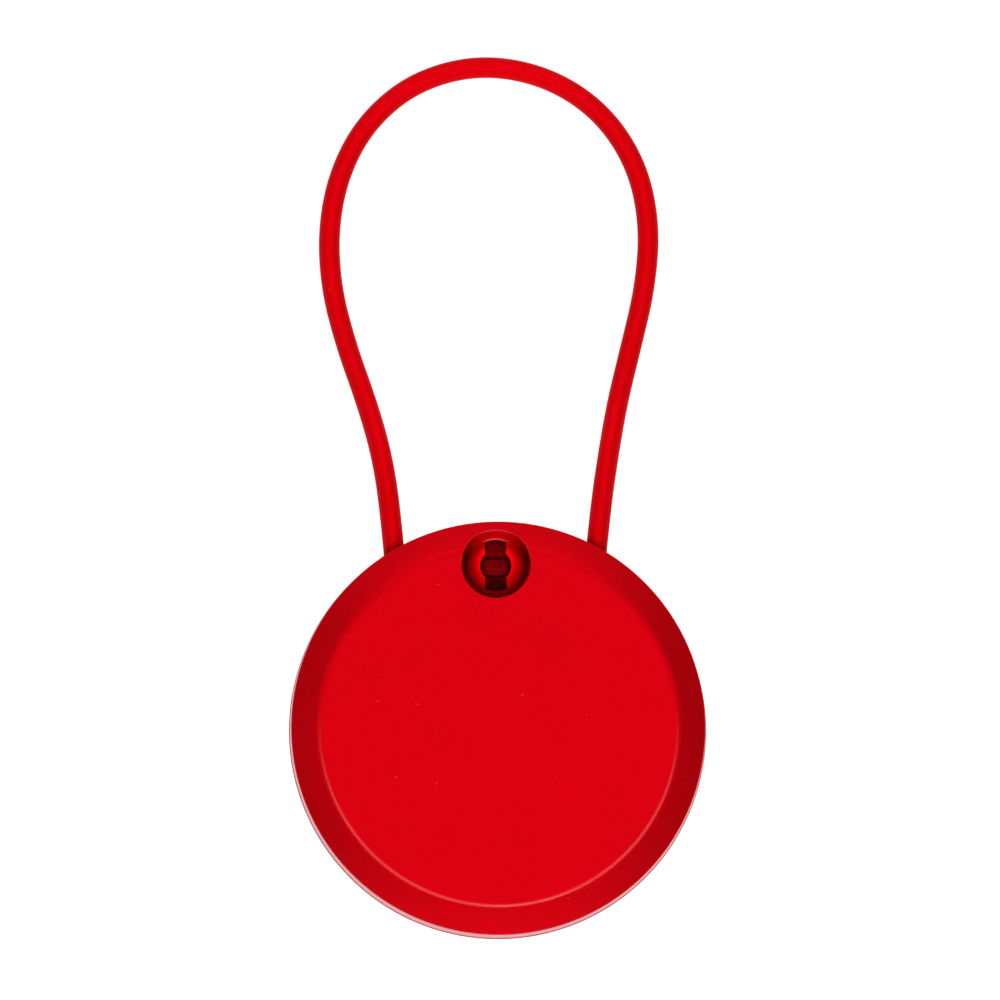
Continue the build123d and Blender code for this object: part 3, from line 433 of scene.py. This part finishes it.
# Centre, ring, side, lowest Z, and a colour of painted shade there, or None
RUBBED_EDGES_AND_SHADE = [
    (CASE_CENTRE, FACE_EDGE, (0.004, -0.012), FRONT_HALF_Z, None),
    (LOCK_CENTRE, BOWL_RIM, (-0.001, 0.002), FRONT_HALF_Z, None),
    (CASE_CENTRE, SIDE_WALL, EVERY_SIDE, EVERY_HEIGHT, SIDE_WALL_SHADE_RED),
]


def dull_sheath_with_shadow(tree, where, look):
    """Cord sheath with little shine, and a painted shadow where it meets the case."""
    entry_shadow = ring_mask(tree, where, CASE_CENTRE, ENTRY_SHADOW_RING)
    look["Specular IOR Level"] = 0.15
    look["Base Color"] = mixed(tree, entry_shadow, look["Base Color"], ENTRY_SHADOW_RED)


def shaded_rotor(tree, where, look):
    """Rotor with painted shade under the lower end of the keyhole."""
    shaded_low_end = ring_mask(tree, where, LOCK_CENTRE, WHOLE_LOCK, KEYHOLE_LOW_END)
    look["Base Color"] = mixed(tree, shaded_low_end, look["Base Color"], SHADE_DEEP_RED)


def polished_bowl_painted_light(tree, where, look):
    """Bowl with a polished wall, with painted light on its upper wall, painted shade on its outer ring and lower
    part, and a painted highlight on its keyhole's upper edge.
    """
    inside = BOWL_LIT_RED
    for ring, side, tint in BOWL_PAINTED_LIGHT:
        inside = mixed(tree, ring_mask(tree, where, LOCK_CENTRE, ring, side), inside, tint)
    bowl = ring_mask(tree, where, LOCK_CENTRE, BOWL, lowest=FRONT_HALF_Z)
    hazy = ring_mask(tree, where, LOCK_CENTRE, HAZY_RING, HAZY_SIDE, FRONT_HALF_Z)
    polished = faded(tree, bowl, look["Metallic"], 1.0)
    look["Base Color"] = mixed(tree, bowl, look["Base Color"], inside)
    look["Roughness"] = faded(tree, bowl, look["Roughness"], BOWL_ROUGHNESS)
    look["Metallic"] = faded(tree, hazy, polished, HAZY_METALLIC)


def rubbed_edges_and_shade(tree, where, look):
    """Edges and side wall that handling has rubbed smooth, and painted shade that makes the side wall's red
    darker.
    """
    smooth = 0.0
    for centre, ring, side, lowest, tint in RUBBED_EDGES_AND_SHADE:
        edge = ring_mask(tree, where, centre, ring, side, lowest)
        # A colour here is painted shade on the side wall
        if tint:
            look["Base Color"] = mixed(tree, edge, look["Base Color"], tint)
        smooth = maths(tree, "MAXIMUM", edge, smooth)
    look["Coat Weight"] = smooth


# ---------------------------------------------------------------- finishes

PLASTIC_FINENESS = 4500.0
PLASTIC_UNEVENNESS = 0.02
METAL_UNEVENNESS = 0.08
METAL_CONTRAST = 0.15
ALONG_X = (0.05, 1, 1)
ALONG_Y = (1, 0.05, 1)
ALONG_Z = (1, 1, 0.1)


def finish(name, describe):
    """New material; describe(tree) gives each shader socket's source or value."""
    material = bpy.data.materials.new(name)
    material.use_nodes = True
    tree = material.node_tree
    feed(tree, tree.nodes["Principled BSDF"], describe(tree).items())
    return material


def red_plastic(colour, roughness, relief, pearl, contrast=0.09, drawn=(1, 1, 1), sheen=0.45, marks_and_painted_light=()):
    """Moulded red plastic with a fine satin grain and a little dust.

    relief: how strong the grain is; pearl: how metallic its pigment looks;
    sheen: the blue in its glancing shine; marks_and_painted_light: functions that change its look in places, some
    with painted light and shade.
    """

    def describe(tree):
        where, texture = grained(tree, PLASTIC_FINENESS, drawn)
        specks = add(tree, "ShaderNodeGroup", [("Place", where)], node_tree=SPECKS).outputs["Mask"]
        look = {
            "Base Color": mixed(tree, specks, mottled(tree, texture, colour, contrast), DUST_COLOUR),
            "Roughness": rough_patches(tree, texture, roughness, PLASTIC_UNEVENNESS),
            "Normal": grain_relief(tree, texture, relief),
            "Metallic": pearl,
            "Specular Tint": (1.0, 0.0, sheen, 1.0),
            "Coat Roughness": 0.2,
        }
        for mark in marks_and_painted_light:
            mark(tree, where, look)
        return look

    return describe


def metal(colour, roughness, fineness, relief=0.1, drawn=(1, 1, 1)):
    """Bare or plated metal with a fine uneven surface, drawn out where it was rolled, ground or turned."""

    def describe(tree):
        _, texture = grained(tree, fineness, drawn)
        return {
            "Base Color": mottled(tree, texture, colour, METAL_CONTRAST),
            "Roughness": rough_patches(tree, texture, roughness, METAL_UNEVENNESS),
            "Normal": grain_relief(tree, texture, relief),
            "Metallic": 1.0,
        }

    return describe


case_plastic = red_plastic((0.61, 0.0015, 0.004), 0.55, 0.25, 0.6, marks_and_painted_light=(polished_bowl_painted_light, rubbed_edges_and_shade))
button_plastic = red_plastic((0.72, 0.0015, 0.012), 0.5, 0.3, 0.4)
rotor_plastic = red_plastic(
    (0.25, 0.0012, 0.001), 0.5, 0.2, 0.3, contrast=0.4, drawn=ALONG_X, sheen=0.15, marks_and_painted_light=(shaded_rotor,)
)
sheath_plastic = red_plastic((0.69, 0.0012, 0.004), 0.5, 0.1, 0.2, contrast=0.05, marks_and_painted_light=(dull_sheath_with_shadow,))

FINISHES = {
    "red_case": finish("case_plastic", case_plastic),
    "red_button": finish("button_plastic", button_plastic),
    "red_rotor": finish("rotor_plastic", rotor_plastic),
    "red_sheath": finish("sheath_plastic", sheath_plastic),
    "zinc_steel": finish("zinc_plating", metal((0.62, 0.62, 0.6), 0.35, 3000.0)),
    "spring_steel": finish("rolled_spring_steel", metal((0.42, 0.43, 0.45), 0.3, 2500.0, drawn=ALONG_Y)),
    "bright_steel": finish("ground_steel", metal((0.6, 0.61, 0.62), 0.25, 4000.0, drawn=ALONG_X)),
    "cast_zinc": finish("die_cast_zinc", metal((0.5, 0.5, 0.51), 0.5, 2000.0, relief=0.4)),
    "brass_ferrule": finish("turned_brass", metal((0.72, 0.52, 0.22), 0.3, 3000.0, drawn=ALONG_Z)),
}


def dress(piece, material):
    """Gives every face of a piece one finish."""
    piece.data.materials.clear()
    piece.data.materials.append(material)


for part in frame["record"]["subparts"]:
    dress(nodes[part["node"]], FINISHES[part["material_slot"]])
dress(loop, FINISHES["red_sheath"])
dress(bending_leaf, FINISHES["spring_steel"])

# ---------------------------------------------------------------- bolt spring

spring_low, spring_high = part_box("bolt_spring")
SPRING_LENGTH = spring_high[0] - spring_low[0]
SPRING_BASE = (
    spring_low[0],
    (spring_low[1] + spring_high[1]) / 2,
    (spring_low[2] + spring_high[2]) / 2,
)
SPRING_WIRE = 0.00025
SPRING_COIL_RADIUS = (spring_high[1] - spring_low[1] - SPRING_WIRE) / 2
SPRING_TURNS = 5.0
STEPS_PER_TURN = 32
WIRE_SIDES = 12


def coil_tree():
    """Geometry node tree for a compression spring that stands on a point and points along +X."""
    tree, given, end = group(
        "GeometryNodeTree",
        "compression_spring",
        [
            ("Base", VECTOR, None),
            ("Length", FLOAT, None),
            ("Coil Radius", FLOAT, None),
            ("Wire", FLOAT, None),
            ("Turns", FLOAT, None),
            ("Finish", MATERIAL, None),
        ],
        [("Geometry", GEOMETRY)],
    )
    half_wire = maths(tree, "MULTIPLY", given["Wire"], 0.5)
    helix = add(
        tree,
        "GeometryNodeCurveSpiral",
        [
            ("Resolution", STEPS_PER_TURN),
            ("Rotations", given["Turns"]),
            ("Start Radius", given["Coil Radius"]),
            ("End Radius", given["Coil Radius"]),
            ("Height", maths(tree, "SUBTRACT", given["Length"], given["Wire"])),
        ],
    )
    section = add(
        tree,
        "GeometryNodeCurvePrimitiveCircle",
        [("Resolution", WIRE_SIDES), ("Radius", half_wire)],
    )
    wire = add(
        tree,
        "GeometryNodeCurveToMesh",
        [
            ("Curve", helix.outputs["Curve"]),
            ("Profile Curve", section.outputs["Curve"]),
            ("Fill Caps", True),
        ],
    )
    lift = add(tree, "ShaderNodeCombineXYZ", [("Z", half_wire)])
    raised = add(
        tree,
        "GeometryNodeTransform",
        [("Geometry", wire.outputs["Mesh"]), ("Translation", lift.outputs[0])],
    )
    # Turned from +Z to +X
    laid = add(
        tree,
        "GeometryNodeTransform",
        [
            ("Geometry", raised.outputs["Geometry"]),
            ("Translation", given["Base"]),
            ("Rotation", (0, math.pi / 2, 0)),
        ],
    )
    real = add(tree, "GeometryNodeRealizeInstances", [("Geometry", laid.outputs["Geometry"])])
    dressed = add(
        tree,
        "GeometryNodeSetMaterial",
        [("Geometry", real.outputs["Geometry"]), ("Material", given["Finish"])],
    )
    feed(tree, end, [("Geometry", dressed.outputs["Geometry"])])
    return tree


def grown(name, tree, values):
    """Plain mesh piece that a geometry node tree makes from the given named values."""
    seed = placed(name + "_seed", bpy.data.meshes.new(name + "_seed"))
    modifier = seed.modifiers.new("nodes", "NODES")
    modifier.node_group = tree
    sockets = {item.name: item.identifier for item in tree.interface.items_tree if item.in_out == "INPUT"}
    for label, value in values.items():
        modifier[sockets[label]] = value
    ready = seed.evaluated_get(bpy.context.evaluated_depsgraph_get())
    mesh = bpy.data.meshes.new_from_object(ready)
    mesh.name = name
    bpy.data.objects.remove(seed)
    return placed(name, mesh)


working_spring = grown(
    "working_spring",
    coil_tree(),
    {
        "Base": SPRING_BASE,
        "Length": SPRING_LENGTH,
        "Coil Radius": SPRING_COIL_RADIUS,
        "Wire": SPRING_WIRE,
        "Turns": SPRING_TURNS,
        "Finish": FINISHES["spring_steel"],
    },
)
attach(working_spring, "case")
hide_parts("bolt_spring")
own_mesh(working_spring)

# ---------------------------------------------------------------- table top

TABLE_HALF_WIDTH = 6.0
TABLE_Z = -0.00005


def white_glow(tree):
    """Look of a softly lit white surface."""
    where = add(tree, "ShaderNodeTexCoord").outputs["Object"]
    return {
        "Base Color": ranged(tree, noise(tree, where, 4.0), (0.0, 1.0), (0.14, 0.16)),
        "Roughness": 0.9,
        "Specular IOR Level": 0.0,
        "Emission Color": (1, 1, 1, 1),
        "Emission Strength": 0.92,
    }


def seen_from_above(material):
    """Clears a material's back side, so that what lies on the table can be looked at from below."""
    tree = material.node_tree
    inputs = [
        (0, add(tree, "ShaderNodeNewGeometry").outputs["Backfacing"]),
        (1, tree.nodes["Principled BSDF"].outputs[0]),
        (2, add(tree, "ShaderNodeBsdfTransparent").outputs[0]),
    ]
    choice = add(tree, "ShaderNodeMixShader", inputs)
    feed(tree, tree.nodes["Material Output"], [("Surface", choice.outputs[0])])
    return material


def table_top():
    """Plain table top, wide enough for every view."""
    mesh = bpy.data.meshes.new("table_top")
    builder = bmesh.new()
    bmesh.ops.create_grid(builder, x_segments=1, y_segments=1, size=TABLE_HALF_WIDTH)
    builder.to_mesh(mesh)
    builder.free()
    mesh.transform(Matrix.Translation((0, 0, TABLE_Z)))
    return placed("table_top", mesh)


table = table_top()
dress(table, seen_from_above(finish("table_white", white_glow)))

# ---------------------------------------------------------------- lights

MIDDLE = (0, 0.02, 0.006)


def softbox(name, place, size, power):
    """Rectangular soft light that faces the middle of the object."""
    data = bpy.data.lights.new(name, "AREA")
    data.shape = "RECTANGLE"
    data.size, data.size_y = size
    data.energy = power
    towards = Vector(MIDDLE) - Vector(place)
    turn = towards.to_track_quat("-Z", "Y").to_matrix().to_4x4()
    placed(name, data).matrix_world = Matrix.Translation(place) @ turn


softbox("front_light", (0.02, -0.20, 1.0), (1.2, 0.8), 7.5)
softbox("left_light", (-0.75, 0.0, 0.55), (0.3, 0.9), 0.75)
softbox("right_light", (0.75, 0.0, 0.55), (0.3, 0.9), 0.4)
softbox("top_light", (0, 0.72, 0.64), (1.1, 0.35), 5.6)
softbox("bottom_light", (0, -0.92, 0.28), (1.5, 0.35), 5.6)
softbox("edge_light", (0.10, -0.45, 1.0), (0.25, 0.12), 0.35)

# The air gives almost no light, and the camera sees it white
world = bpy.data.worlds.new("studio_air")
scene.world = world
world.use_nodes = True
air = world.node_tree
dim = air.nodes["Background"]
feed(air, dim, [("Color", (1, 1, 1, 1)), ("Strength", 0.02)])
white = add(air, "ShaderNodeBackground", [("Color", (1, 1, 1, 1)), ("Strength", 1.0)])
path = add(air, "ShaderNodeLightPath")
seen = add(
    air,
    "ShaderNodeMixShader",
    [(0, path.outputs["Is Camera Ray"]), (1, dim.outputs[0]), (2, white.outputs[0])],
)
feed(air, air.nodes["World Output"], [("Surface", seen.outputs[0])])

# ---------------------------------------------------------------- final update

bpy.context.view_layer.update()
